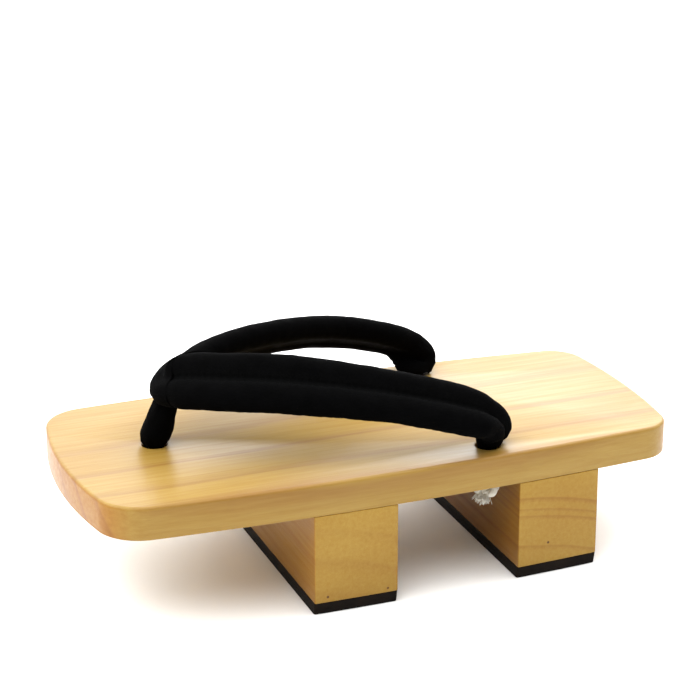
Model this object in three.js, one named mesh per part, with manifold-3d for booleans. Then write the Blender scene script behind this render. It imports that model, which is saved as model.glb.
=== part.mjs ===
// Geta: a wooden sandal that stands on two cross teeth shod with rubber. Its thong is a padded
// two-roll band, which folds into a hairpin over the toe post and is knotted under the board.
// Millimetres, +Z up, ground at z = 0. The toe points to -Y and the heel to +Y.
import * as THREE from "three";
import { mergeVertices } from "three/addons/utils/BufferGeometryUtils.js";
import Module from "manifold-3d";

const wasm = await Module();
wasm.setup();

// Driving dimensions
const LENGTH = 250; // board, toe to heel
const STAND = 56; // top of the board above the ground
const BOARD_THICK = 13.6;
const MID_WIDTH = 115; // board, halfway along
const HEEL_TAPER = 2.5; // half width lost from the middle to the heel, and gained to the toe
const END_TAPER = 5.5; // half width lost from the middle to either end
const TOE_BOW = 8.5; // how far the toe edge falls back at its corners
const HEEL_BOW = 5.5;
const TOE_CORNER = 19; // corner radii of the outline
const HEEL_CORNER = 15;
const EDGE_ROUND = 0.8; // eased edge round the board's two faces
const PAD_THICK = 5.2; // rubber under each tooth
const PAD_UNDERCUT = 1.2; // how far the rubber's two ends slope in, from top to ground
const HOLE_RADIUS = 5; // the three cord holes
const GAP = 0.3; // clearance between curved pieces

// Each tooth is a block across the board, from one y to the other.
const TEETH = [
  { name: "front", from: -39, to: -3.7 },
  { name: "rear", from: 49.7, to: 86.2 },
];

// The three holes through the board.
const HOLES = [
  { name: "front", x: -5.5, y: -84.5 },
  { name: "left", x: 43.5, y: 40.5 },
  { name: "right", x: -43.5, y: 43.5 },
];

// The thong's arms from the hairpin towards their holes: the centres of the inner (upper) and
// outer (lower) roll, with "up" above the board's top, and half the thickness of the band. Both
// arms share the first rows, as mirror images, and each has its own last rows down into its hole.
const THONG_COLUMNS = ["innerX", "innerY", "innerUp", "outerX", "outerY", "outerUp", "halfThick"];
const THONG_ROWS = [
  [0, -75, 31, 0, -81, 23, 5],
  [1, -71.5, 32.5, 9, -77, 25, 5],
  [10, -60, 34, 19.5, -65, 26.5, 5],
  [23, -33.5, 34, 32.5, -38, 26, 5],
  [36.5, 2, 28.5, 46, -2, 22, 5],
  [41, 31.5, 19.5, 51.5, 30, 13.5, 5],
];
const LEFT_END_ROWS = [
  [42, 41.8, 13.1, 49.2, 38.8, 8.8, 5.2],
  [42.6, 46, 6.9, 46.4, 40.8, 4.8, 5],
  [43, 41.1, 2.6, 44, 40, 1.8, 4],
  [43, 40.9, -4, 44, 40.1, -4, 3.6],
  [43, 40.9, -BOARD_THICK, 44, 40.1, -BOARD_THICK, 3.6],
];
const RIGHT_END_ROWS = [
  [43, 46.2, 11.6, 48, 39.4, 8.6, 5.1],
  [43.8, 49.2, 6, 46, 41, 4.6, 4.9],
  [43.2, 44.2, 3, 44.2, 42.9, 1.8, 4],
  [43, 43.9, -4, 44, 43.1, -4, 3.6],
  [43, 43.9, -BOARD_THICK, 44, 43.1, -BOARD_THICK, 3.6],
];
const HAIRPIN_SHIFT = -2.5; // the hairpin lies this far to the big toe's side of the middle
const RIGHT_ARM_REACH = HOLES[2].y - HOLES[1].y; // the right arm runs this much further back
const THONG_STEPS = 4; // sections per row
const LOBE_STEPS = 8; // facets round each roll
const OUTER_GROOVE = 0.89; // how far each roll's arc reaches into the groove, on the outer face
const INNER_GROOVE = 0.55; // and on the flatter face against the foot

// The toe post, from the underside of the board up into the hairpin.
const POST_ROWS = [
  { x: -5.5, y: -84.5, up: -BOARD_THICK, radius: 3.6 },
  { x: -5.5, y: -84.5, up: -1, radius: 3.6 },
  { x: -5.5, y: -84.5, up: GAP, radius: 4.4 },
  { x: -5.3, y: -84.3, up: 2, radius: 5.7 },
  { x: -5, y: -83.5, up: 6, radius: 6.2 },
  { x: -4.3, y: -81.4, up: 13, radius: 5.8 },
  { x: -3.6, y: -79, up: 20, radius: 5.2 },
  { x: -3.2, y: -78, up: 24, radius: 4.6 },
];
const POST_SIDES = 20;

// Each knot hangs under its hole: a pulled-tight ball with short frayed ends.
const KNOT_RADIUS = 5.6;
const KNOT_HEIGHT = 8;
const KNOT_ENDS = [
  { turn: 10, lean: 34, length: 7, radius: 2.2 },
  { turn: 95, lean: 16, length: 8, radius: 2.3 },
  { turn: 165, lean: 32, length: 6, radius: 2 },
];

const HALF_LENGTH = LENGTH / 2;
const HALF_WIDTH = MID_WIDTH / 2;
const UNDERSIDE = STAND - BOARD_THICK;

const wood = new THREE.MeshStandardMaterial({ color: 0xe3c184, roughness: 0.6 });
const rubber = new THREE.MeshStandardMaterial({ color: 0x151315, roughness: 0.7 });
const velvet = new THREE.MeshStandardMaterial({ color: 0x0b0a0b, roughness: 0.95 });
const cotton = new THREE.MeshStandardMaterial({ color: 0xd8d4c8, roughness: 0.9 });

// Booleans: a closed geometry becomes a manifold-3d solid, and the result a geometry again.
function solidOf(geometry) {
  const bare = geometry.clone();
  bare.deleteAttribute("normal");
  bare.deleteAttribute("uv");
  const merged = mergeVertices(bare, 1e-4);
  return new wasm.Manifold(
    new wasm.Mesh({
      numProp: 3,
      vertProperties: new Float32Array(merged.attributes.position.array),
      triVerts: new Uint32Array(merged.index.array),
    }),
  );
}

function geometryOf(solid) {
  const mesh = solid.getMesh();
  const geometry = new THREE.BufferGeometry();
  geometry.setAttribute("position", new THREE.BufferAttribute(mesh.vertProperties, 3));
  geometry.setIndex(new THREE.BufferAttribute(mesh.triVerts, 1));
  geometry.computeVertexNormals();
  return geometry;
}

function subtract(geometry, ...cutters) {
  return geometryOf(cutters.reduce((left, cutter) => left.subtract(solidOf(cutter)), solidOf(geometry)));
}

function union(...geometries) {
  return geometryOf(geometries.map(solidOf).reduce((left, right) => left.add(right)));
}

// Closed rings of equal length, joined in order and closed at both ends by fans.
function loft(rings) {
  const sides = rings[0].length;
  const centres = [rings[0], rings[rings.length - 1]].map((ring) =>
    ring.reduce((sum, point) => sum.add(point), new THREE.Vector3()).divideScalar(sides),
  );
  const points = [...rings.flat(), ...centres];
  const firstCentre = rings.length * sides;
  const lastRing = firstCentre - sides;
  const index = [];
  for (let row = 0; row < rings.length - 1; row++) {
    for (let side = 0; side < sides; side++) {
      const a = row * sides + side;
      const b = row * sides + ((side + 1) % sides);
      index.push(a, b, b + sides, a, b + sides, a + sides);
    }
  }
  for (let side = 0; side < sides; side++) {
    const next = (side + 1) % sides;
    index.push(firstCentre, next, side);
    index.push(firstCentre + 1, lastRing + side, lastRing + next);
  }
  const geometry = new THREE.BufferGeometry().setFromPoints(points);
  geometry.setIndex(index);
  geometry.computeVertexNormals();
  return geometry;
}

// The board's outline

function halfWidthAt(y) {
  const share = y / HALF_LENGTH;
  return HALF_WIDTH - HEEL_TAPER * share - END_TAPER * share * share;
}

function halfWidthSlope(y) {
  return -(HEEL_TAPER + (2 * END_TAPER * y) / HALF_LENGTH) / HALF_LENGTH;
}

// Half of one end, from the middle to where the side starts, with the corner as an arc that
// touches both the bowed end and the side. "end" is -1 at the toe and +1 at the heel.
function endPoints(end, bow, radius) {
  const reach = (x) => HALF_LENGTH - bow * (x / HALF_WIDTH) ** 2;
  const reachSlope = (x) => (-2 * bow * x) / HALF_WIDTH ** 2;
  const centre = new THREE.Vector2(HALF_WIDTH - radius, HALF_LENGTH - radius);
  for (let pass = 0; pass < 8; pass++) {
    const side = Math.hypot(1, halfWidthSlope(end * centre.y));
    const cap = Math.hypot(1, reachSlope(centre.x));
    centre.set(
      halfWidthAt(end * centre.y) - radius * side,
      reach(centre.x) - radius * cap,
    );
  }
  const fromAngle = Math.PI / 2 - Math.atan(-reachSlope(centre.x));
  const toAngle = Math.atan(-end * halfWidthSlope(end * centre.y));
  const points = [];
  const startX = centre.x + radius * Math.cos(fromAngle);
  for (let step = 0; step < 5; step++) {
    const x = (startX * step) / 5;
    points.push(new THREE.Vector2(x, end * reach(x)));
  }
  for (let step = 0; step <= 8; step++) {
    const angle = fromAngle + ((toAngle - fromAngle) * step) / 8;
    points.push(
      new THREE.Vector2(
        centre.x + radius * Math.cos(angle),
        end * (centre.y + radius * Math.sin(angle)),
      ),
    );
  }
  return points;
}

function boardOutline() {
  const toe = endPoints(-1, TOE_BOW, TOE_CORNER);
  const heel = endPoints(1, HEEL_BOW, HEEL_CORNER).reverse();
  const from = toe[toe.length - 1].y;
  const to = heel[0].y;
  const side = [];
  for (let step = 1; step < 14; step++) {
    const y = from + ((to - from) * step) / 14;
    side.push(new THREE.Vector2(halfWidthAt(y), y));
  }
  const half = [...toe, ...side, ...heel];
  const mirrored = half
    .slice(1, -1)
    .reverse()
    .map((point) => new THREE.Vector2(-point.x, point.y));
  return [...half, ...mirrored];
}

function makeBoard() {
  const board = new THREE.ExtrudeGeometry(new THREE.Shape(boardOutline()), {
    depth: BOARD_THICK - 2 * EDGE_ROUND,
    bevelThickness: EDGE_ROUND,
    bevelSize: EDGE_ROUND,
    bevelOffset: -EDGE_ROUND,
    bevelSegments: 2,
  });
  board.translate(0, 0, UNDERSIDE + EDGE_ROUND);
  const cutters = HOLES.map((hole) => {
    const cutter = new THREE.CylinderGeometry(HOLE_RADIUS, HOLE_RADIUS, 2 * BOARD_THICK, 24);
    cutter.rotateX(Math.PI / 2);
    cutter.translate(hole.x, hole.y, UNDERSIDE + BOARD_THICK / 2);
    return cutter;
  });
  return subtract(board, ...cutters);
}

// A block across the sandal whose two ends follow the board's sides. At the bottom the ends are
// drawn in by "undercut".
function crossBlock(from, to, bottom, top, undercut = 0) {
  const side = [];
  for (let step = 0; step <= 4; step++) {
    const y = from + ((to - from) * step) / 4;
    side.push(new THREE.Vector2(halfWidthAt(y), y));
  }
  const mirrored = side.map((point) => new THREE.Vector2(-point.x, point.y)).reverse();
  const outline = [...side, ...mirrored];
  const ringAt = (inset, z) =>
    outline.map(({ x, y }) => new THREE.Vector3(x - Math.sign(x) * inset, y, z));
  return loft([ringAt(undercut, bottom), ringAt(0, top)]);
}

// The thong

// One curve through the same three columns of every station.
function stationCurve(stations, columns) {
  const points = stations.map(
    (station) => new THREE.Vector3(...columns.map((column) => station[column])),
  );
  return new THREE.CatmullRomCurve3(points, false, "catmullrom", 0.5);
}

// Both arms as one list of stations, from the right hole round the hairpin to the left hole.
function thongStations() {
  const stationOf = (row, side, shift, back) => {
    const station = Object.fromEntries(THONG_COLUMNS.map((column, place) => [column, row[place]]));
    return {
      ...station,
      innerX: side * station.innerX + shift,
      innerY: station.innerY + back,
      outerX: side * station.outerX + shift,
      outerY: station.outerY + back,
    };
  };
  const armStations = (side, reach, endRows) => {
    const arm = THONG_ROWS.map((row, place) => {
      const share = place / THONG_ROWS.length;
      return stationOf(row, side, HAIRPIN_SHIFT * (1 - share) ** 1.5, reach * share ** 2);
    });
    return [...arm, ...endRows.map((row) => stationOf(row, side, 0, 0))];
  };
  const rightArm = armStations(-1, RIGHT_ARM_REACH, RIGHT_END_ROWS);
  const leftArm = armStations(1, 0, LEFT_END_ROWS);
  return [...rightArm.slice(1).reverse(), ...leftArm];
}

// A section of the band: two rolls side by side, as arcs that stop at the grooves between them.
// The middle is between the rolls, "wide" points to the inner roll and "out" away from the foot.
function bandRing(middle, wide, out, offset, halfThick, grow) {
  const halfLobe = Math.max(offset, halfThick);
  const reach = (groove) => Math.PI / 2 + Math.asin(Math.min((0.97 * offset) / halfLobe, groove));
  const from = -reach(INNER_GROOVE);
  const to = reach(OUTER_GROOVE);
  const ring = [];
  for (let step = 0; step <= LOBE_STEPS; step++) {
    const angle = from + ((to - from) * step) / LOBE_STEPS;
    const across = offset + (halfLobe + grow) * Math.cos(angle);
    const height = (halfThick + grow) * Math.sin(angle);
    ring.push([across, height]);
  }
  const mirrored = ring.map(([across, height]) => [-across, height]).reverse();
  return [...ring, ...mirrored].map(([across, height]) =>
    middle.clone().addScaledVector(wide, across).addScaledVector(out, height),
  );
}

// The whole thong as one solid, swollen by "grow" where it serves as a cutter.
function makeThong(grow = 0) {
  const stations = thongStations();
  const inner = stationCurve(stations, ["innerX", "innerY", "innerUp"]);
  const outer = stationCurve(stations, ["outerX", "outerY", "outerUp"]);
  const thick = stationCurve(stations, ["halfThick", "halfThick", "halfThick"]);
  const middleAt = (t) => inner.getPoint(t).add(outer.getPoint(t)).multiplyScalar(0.5);
  const steps = THONG_STEPS * (stations.length - 1);
  const nudge = 0.25 / steps;
  const rings = [];
  for (let step = 0; step <= steps; step++) {
    const t = step / steps;
    const along = middleAt(Math.min(t + nudge, 1)).sub(middleAt(Math.max(t - nudge, 0))).normalize();
    const wide = inner.getPoint(t).sub(outer.getPoint(t));
    const offset = wide.length() / 2;
    wide.addScaledVector(along, -wide.dot(along)).normalize();
    const out = along.clone().cross(wide);
    rings.push(bandRing(middleAt(t), wide, out, offset, thick.getPoint(t).x, grow));
  }
  const thong = loft(rings);
  thong.translate(0, 0, STAND);
  return thong;
}

// The toe post, and the knots under the holes

function makePost() {
  const rings = POST_ROWS.map(({ x, y, up, radius }) => {
    const ring = [];
    for (let side = 0; side < POST_SIDES; side++) {
      const angle = (2 * Math.PI * side) / POST_SIDES;
      ring.push(
        new THREE.Vector3(x + radius * Math.cos(angle), y + radius * Math.sin(angle), STAND + up),
      );
    }
    return ring;
  });
  return subtract(loft(rings), makeThong(GAP));
}

function makeKnot(hole) {
  const profile = [];
  for (let step = 0; step <= 8; step++) {
    const angle = (Math.PI * step) / 8;
    profile.push(
      new THREE.Vector2(KNOT_RADIUS * Math.sin(angle), (-KNOT_HEIGHT / 2) * Math.cos(angle)),
    );
  }
  const ball = new THREE.LatheGeometry(profile, 16);
  ball.rotateX(Math.PI / 2);
  const ends = KNOT_ENDS.map(({ turn, lean, length, radius }) => {
    const end = new THREE.CapsuleGeometry(radius, length, 3, 8);
    end.rotateX(Math.PI / 2);
    end.translate(0, 0, -length / 2 - KNOT_HEIGHT / 4);
    end.rotateY(THREE.MathUtils.degToRad(lean));
    end.rotateZ(THREE.MathUtils.degToRad(turn));
    return end;
  });
  const knot = union(ball, ...ends);
  knot.translate(hole.x, hole.y, UNDERSIDE - GAP - KNOT_HEIGHT / 2);
  return knot;
}

// The assembly

const group = new THREE.Group();

function place(name, geometry, material) {
  const mesh = new THREE.Mesh(geometry, material);
  mesh.name = name;
  group.add(mesh);
}

place("board", makeBoard(), wood);
for (const tooth of TEETH) {
  place(`${tooth.name}_tooth`, crossBlock(tooth.from, tooth.to, PAD_THICK, UNDERSIDE), wood);
  place(`${tooth.name}_pad`, crossBlock(tooth.from, tooth.to, 0, PAD_THICK, PAD_UNDERCUT), rubber);
}
place("thong", makeThong(), velvet);
place("toe_post", makePost(), velvet);
for (const hole of HOLES) {
  place(`${hole.name}_knot`, makeKnot(hole), cotton);
}

export default group;
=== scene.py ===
import math

import bpy
import numpy as np
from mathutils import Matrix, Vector, noise


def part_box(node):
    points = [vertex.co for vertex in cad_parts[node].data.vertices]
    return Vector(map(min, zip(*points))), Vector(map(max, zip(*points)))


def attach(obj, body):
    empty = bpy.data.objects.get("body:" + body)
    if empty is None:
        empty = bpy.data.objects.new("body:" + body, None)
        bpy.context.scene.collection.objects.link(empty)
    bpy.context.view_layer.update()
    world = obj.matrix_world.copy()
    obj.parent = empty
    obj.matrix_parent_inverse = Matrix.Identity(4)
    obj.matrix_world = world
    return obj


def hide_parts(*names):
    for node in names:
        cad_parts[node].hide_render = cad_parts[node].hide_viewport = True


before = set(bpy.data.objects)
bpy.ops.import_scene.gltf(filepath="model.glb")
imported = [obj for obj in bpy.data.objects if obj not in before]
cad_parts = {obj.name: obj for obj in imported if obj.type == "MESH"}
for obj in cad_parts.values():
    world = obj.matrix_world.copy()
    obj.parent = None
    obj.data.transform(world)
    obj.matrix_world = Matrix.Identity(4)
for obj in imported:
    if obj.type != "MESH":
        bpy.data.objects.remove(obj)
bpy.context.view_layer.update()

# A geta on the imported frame: toe to -Y, heel to +Y, +X the sandal's left, ground at z = 0.
# Sizes are in millimetres unless a comment says otherwise, and MM turns them into metres.

MM = 0.001
ROOT = "root"

BOARD_LOW, BOARD_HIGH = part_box("board")
STAND = BOARD_HIGH.z / MM  # top of the board above the ground
UNDERSIDE = BOARD_LOW.z / MM
HALF_LENGTH = (BOARD_HIGH.y - BOARD_LOW.y) / MM / 2
PAD_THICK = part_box("front_pad")[1].z / MM
GAP = 0.3  # clearance between pieces

# The board's plan, as in the CAD source
HALF_WIDTH = 57.5  # halfway along
HEEL_TAPER = 2.5  # half width lost from the middle to the heel, and gained to the toe
END_TAPER = 5.5  # half width lost from the middle to either end
TOE_BOW = 8.5  # how far the toe edge falls back at its corners
HEEL_BOW = 5.5
TOE_CORNER = 19.0
HEEL_CORNER = 15.0
HOLE_RADIUS = 5.0
HOLES = {"front": (-5.5, -84.5), "left": (43.5, 40.5), "right": (-43.5, 43.5)}

# The thong's stations, as in the CAD source: inner roll, outer roll ("up" is above the board's
# top) and half the band's thickness, from the hairpin to the hole. Both arms share the first
# rows, as mirror images, and each has its own last rows down into its hole.
THONG_COLUMNS = ("inner_x", "inner_y", "inner_up", "outer_x", "outer_y", "outer_up", "half_thick")
THONG_ROWS = (
    (0, -75, 31, 0, -81, 23, 5),
    (1, -71.5, 32.5, 9, -77, 25, 5),
    (10, -60, 34, 19.5, -65, 26.5, 5),
    (23, -33.5, 34, 32.5, -38, 26, 5),
    (36.5, 2, 28.5, 46, -2, 22, 5),
    (41, 31.5, 19.5, 51.5, 30, 13.5, 5),
)
LEFT_END_ROWS = (
    (42, 41.8, 13.1, 49.2, 38.8, 8.8, 5.2),
    (42.6, 46, 6.9, 46.4, 40.8, 4.8, 5),
    (43, 41.1, 2.6, 44, 40, 1.8, 4),
    (43, 40.9, -4, 44, 40.1, -4, 3.6),
    (43, 40.9, -13.6, 44, 40.1, -13.6, 3.6),
)
RIGHT_END_ROWS = (
    (43, 46.2, 11.6, 48, 39.4, 8.6, 5.1),
    (43.8, 49.2, 6, 46, 41, 4.6, 4.9),
    (43.2, 44.2, 3, 44.2, 42.9, 1.8, 4),
    (43, 43.9, -4, 44, 43.1, -4, 3.6),
    (43, 43.9, -13.6, 44, 43.1, -13.6, 3.6),
)
HAIRPIN_SHIFT = -2.5  # x of the hairpin, on the big toe's side of the middle
RIGHT_ARM_REACH = HOLES["right"][1] - HOLES["left"][1]  # how much farther back that arm runs

# The toe post as in the CAD source: its axis as (x, y, up), and its radius
POST_ROWS = (
    (-5.5, -84.5, -13.6, 3.6),
    (-5.5, -84.5, -1, 3.6),
    (-5.5, -84.5, 0.3, 4.4),
    (-5.3, -84.3, 2, 5.7),
    (-5, -83.5, 6, 6.2),
    (-4.3, -81.4, 13, 5.8),
    (-3.6, -79, 20, 5.2),
    (-3.2, -78, 24, 4.6),
)


# ---------------------------------------------------------------- camera, floor and light

CAMERA_AZIMUTH = 69.07  # degrees from the toe's side towards the sandal's left
CAMERA_ELEVATION = 19.71
CAMERA_DISTANCE = 916.9
CAMERA_TARGET = (2.3, -3.1, 88.3)
CAMERA_LENS = 115.7
CAMERA_SENSOR = 36.0


def make_camera():
    azimuth = math.radians(CAMERA_AZIMUTH)
    elevation = math.radians(CAMERA_ELEVATION)
    back = Vector((
        math.sin(azimuth) * math.cos(elevation),
        -math.cos(azimuth) * math.cos(elevation),
        math.sin(elevation),
    ))
    lens = bpy.data.cameras.new("camera")
    lens.lens = CAMERA_LENS
    lens.sensor_width = CAMERA_SENSOR
    lens.clip_start = 0.01
    camera = bpy.data.objects.new("camera", lens)
    camera.location = (Vector(CAMERA_TARGET) + back * CAMERA_DISTANCE) * MM
    camera.rotation_euler = (-back).to_track_quat("-Z", "Y").to_euler()
    bpy.context.collection.objects.link(camera)
    bpy.context.scene.camera = camera


FLOOR_REACH = 6.0  # metres each way
WORLD_STRENGTH = 0.18
CEILING_STRENGTH = 5.5  # watts per square metre from a broad lit ceiling
CEILING_SPREAD = 140  # degrees across
CEILING_TILT = 25  # degrees its middle leans to the far side

# Softboxes: place in metres, size in metres and power in watts. All face the sandal.
SOFTBOXES = (
    {"name": "over_heel", "place": (-0.1, 0.5, 0.95), "size": (0.7, 0.7), "power": 4.0},
    {"name": "behind_heel", "place": (-0.62, 0.42, 0.3), "size": (0.5, 0.3), "power": 0.9},
    {"name": "behind_far", "place": (-1.45, 0.55, 0.58), "size": (1.6, 0.7), "power": 5.0},
    {"name": "toe_high", "place": (-0.25, -0.9, 0.95), "size": (0.9, 0.7), "power": 8.0},
    {"name": "near_top", "place": (0.45, -0.4, 1.1), "size": (1.0, 1.0), "power": 8.0},
)


def add_light(name, place, size, power):
    light = bpy.data.lights.new(name, "AREA")
    light.shape = "RECTANGLE"
    light.size, light.size_y = size
    light.energy = power
    holder = bpy.data.objects.new(name, light)
    holder.location = place
    holder.rotation_euler = (-Vector(place)).to_track_quat("-Z", "Y").to_euler()
    bpy.context.collection.objects.link(holder)


def make_studio():
    ceiling = bpy.data.lights.new("ceiling", "SUN")
    ceiling.energy = CEILING_STRENGTH
    ceiling.angle = math.radians(CEILING_SPREAD)
    holder = bpy.data.objects.new("ceiling", ceiling)
    holder.rotation_euler = (0, math.radians(-CEILING_TILT), 0)
    bpy.context.collection.objects.link(holder)
    for box in SOFTBOXES:
        add_light(**box)
    world = bpy.data.worlds.new("studio")
    world.use_nodes = True
    background = world.node_tree.nodes["Background"]
    background.inputs["Color"].default_value = (1, 1, 1, 1)
    background.inputs["Strength"].default_value = WORLD_STRENGTH
    bpy.context.scene.world = world
    bpy.context.scene.view_settings.view_transform = "Standard"
    mesh = bpy.data.meshes.new("floor")
    corners = [(-1, -1), (1, -1), (1, 1), (-1, 1)]
    points = [(x * FLOOR_REACH, y * FLOOR_REACH, 0) for x, y in corners]
    mesh.from_pydata(points, [], [(0, 1, 2, 3)])
    floor = bpy.data.objects.new("floor", mesh)
    bpy.context.collection.objects.link(floor)
    mesh.materials.append(floor_paper())


# ---------------------------------------------------------------- materials


class Shader:
    """A material's nodes, made by short calls that return the output socket."""

    def __init__(self, name, **surface):
        self.material = bpy.data.materials.new(name)
        self.material.use_nodes = True
        self.tree = self.material.node_tree
        self.surface = self.tree.nodes["Principled BSDF"]
        for socket, value in surface.items():
            self.surface.inputs[socket.replace("_", " ")].default_value = value

    def plug(self, value, socket):
        if isinstance(value, bpy.types.NodeSocket):
            self.tree.links.new(value, socket)
        else:
            socket.default_value = value

    def node(self, kind, inputs=(), output=0, **settings):
        node = self.tree.nodes.new("ShaderNode" + kind)
        for name, value in settings.items():
            setattr(node, name, value)
        for key, value in dict(inputs).items():
            self.plug(value, node.inputs[key])
        return node.outputs[output]

    def maths(self, operation, *values):
        return self.node("Math", enumerate(values), operation=operation)

    def add(self, first, second):
        return self.maths("ADD", first, second)

    def subtract(self, first, second):
        return self.maths("SUBTRACT", first, second)

    def times(self, first, second):
        return self.maths("MULTIPLY", first, second)

    def axes(self, vector):
        parts = self.tree.nodes.new("ShaderNodeSeparateXYZ")
        self.plug(vector, parts.inputs[0])
        return tuple(parts.outputs)

    def vector(self, x, y, z):
        return self.node("CombineXYZ", enumerate((x, y, z)))

    def stretched(self, vector, scale):
        return self.node("VectorMath", enumerate((vector, scale)), operation="MULTIPLY")

    def distance(self, first, second):
        ends = enumerate((first, second))
        return self.node("VectorMath", ends, output="Value", operation="DISTANCE")

    def millimetres(self):
        return self.stretched(self.node("TexCoord", output="Object"), (1 / MM, 1 / MM, 1 / MM))

    def noise(self, vector, scale, detail=2.0, roughness=0.5):
        inputs = {"Vector": vector, "Scale": scale, "Detail": detail, "Roughness": roughness}
        return self.node("TexNoise", inputs)

    def map_range(self, value, low, high, to_low=0.0, to_high=1.0):
        return self.node("MapRange", enumerate((value, low, high, to_low, to_high)))

    def ramp(self, value, stops):
        """Greys from 0 to 1 at places from 0 to 1."""
        node = self.tree.nodes.new("ShaderNodeValToRGB")
        elements = node.color_ramp.elements
        while len(elements) < len(stops):
            elements.new(0.5)
        for element, (place, grey) in zip(elements, stops):
            element.position = place
            element.color = (grey, grey, grey, 1)
        self.plug(value, node.inputs["Fac"])
        return node.outputs["Color"]

    def mix(self, factor, first, second, blend="MIX"):
        node = self.tree.nodes.new("ShaderNodeMix")
        node.data_type = "RGBA"
        node.blend_type = blend
        colour_inputs = node.inputs[6:8]  # the sockets before them are for numbers and vectors
        self.plug(factor, node.inputs["Factor"])
        for shade, socket in zip((first, second), colour_inputs):
            self.plug((*shade, 1) if isinstance(shade, tuple) else shade, socket)
        return node.outputs[2]

    def finish(self, colour, height, depth, roughness=None):
        """Colour, a bump of this depth in millimetres, and a roughness that may vary."""
        self.plug(colour, self.surface.inputs["Base Color"])
        bump = {"Height": height, "Distance": depth * MM, "Strength": 1.0}
        self.plug(self.node("Bump", bump), self.surface.inputs["Normal"])
        if roughness is not None:
            self.plug(roughness, self.surface.inputs["Roughness"])
        return self.material


FLOOR_SHADE = (0.93, 0.925, 0.91)
FLOOR_FLECK = (0.95, 0.945, 0.93)


def floor_paper():
    shader = Shader("floor_paper", Specular_IOR_Level=0.1, Roughness=0.9)
    grain = shader.noise(shader.millimetres(), scale=0.6, detail=3)
    return shader.finish(shader.mix(grain, FLOOR_SHADE, FLOOR_FLECK), grain, depth=0.02)


# The wood's shades, from its early wood to the thin late wood lines
EARLY_WOOD = (0.325, 0.208, 0.043)
DEEP_WOOD = (0.26, 0.143, 0.02)
LATE_WOOD = (0.18, 0.068, 0.009)
SPOT_SHADE = (0.08, 0.03, 0.008)

FIBRE_STRETCH = 0.035  # how fast the fibres' noise runs along them, against across them
CLOUD_STRETCH = 0.4  # the same for the broad changes in the block
RING_WOBBLE = 6.0  # how far the rings wander over the block
RING_RAGGED = 0.9  # and from fibre to fibre
RING_MARGIN = 12.0  # plain wood before the first ring and after the last
RING_BREAK = 0.35  # width of a ring's sharp side, as a share of its soft side
STREAK_SHARE = 0.75  # how much of the deep shade follows the fibres
CLOUD_SHARE = 0.6  # and how much the broad changes
FINE_STRENGTH = 0.16  # how dark the finest fibres are
SIDE_PORES = 0.22  # how dark the pores are along the sides
END_PORES = 0.5  # and in the end grain

# Each block of wood. Its fibres run "along" one axis, and its rings lie round a pith, which is
# (across, up) and lies lower by "drop" for each millimetre along. A ring is
# (radius, width, strength).
# The tints multiply the shades of the end grain and of the other faces. On the teeth, the tint of
# the other faces is partly their more orange grain and partly painted shade under the board,
# darkest on the rear tooth, between the teeth. A spot is (across, up, radius), and shows on both
# ends of its block.
WOODS = {
    "board": {
        "along": "Y",
        "pith": (-45, -20),
        "drop": 0.03,
        "rings": (
            (68, 3, 0.2),
            (82, 3.5, 0.34),
            (96, 3, 0.5),
            (111.5, 4, 0.42),
            (126, 5, 0.5),
            (139, 4, 0.3),
        ),
        "end_tint": (0.93, 0.67, 0.28),
        "side_tint_and_shade": (1, 1, 1),
        "coat": 0.32,
        "spots": (),
    },
    "front_tooth": {
        "along": "X",
        "pith": (-60, -140),
        "drop": 0.01,
        "rings": ((152, 4, 0.14), (165, 5, 0.2), (178, 4, 0.14)),
        "end_tint": (1.06, 1.02, 0.86),
        # partly painted shade: the tooth's faces under the board
        "side_tint_and_shade": (0.9, 0.68, 0.32),
        "coat": 0.1,
        "spots": ((-33.6, 7.5, 0.7), (-8.1, 7, 0.6)),
    },
    "rear_tooth": {
        "along": "X",
        "pith": (20, -250),
        "drop": 0.01,
        "rings": (
            (256, 3, 0.25),
            (266.5, 2, 0.4),
            (279.5, 1.6, 0.42),
            (282.5, 1.2, 0.4),
            (287, 1.8, 0.5),
        ),
        "end_tint": (1.06, 1.02, 0.86),
        # painted shade: darker than the front tooth's, for the shade between the teeth
        "side_tint_and_shade": (0.72, 0.52, 0.26),
        "coat": 0.1,
        "spots": ((63.4, 14, 0.7),),
    },
}


def ring_stops(rings, first, span):
    """Ramp stops for the late wood: each ring darkens slowly and then breaks off."""
    stops = [(0.0, 0.0)]
    for radius, width, strength in rings:
        place = (radius - first) / span
        stops.append((place - width / span, 0.0))
        stops.append((place, strength))
        stops.append((place + RING_BREAK * width / span, 0.0))
    return stops


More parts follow.
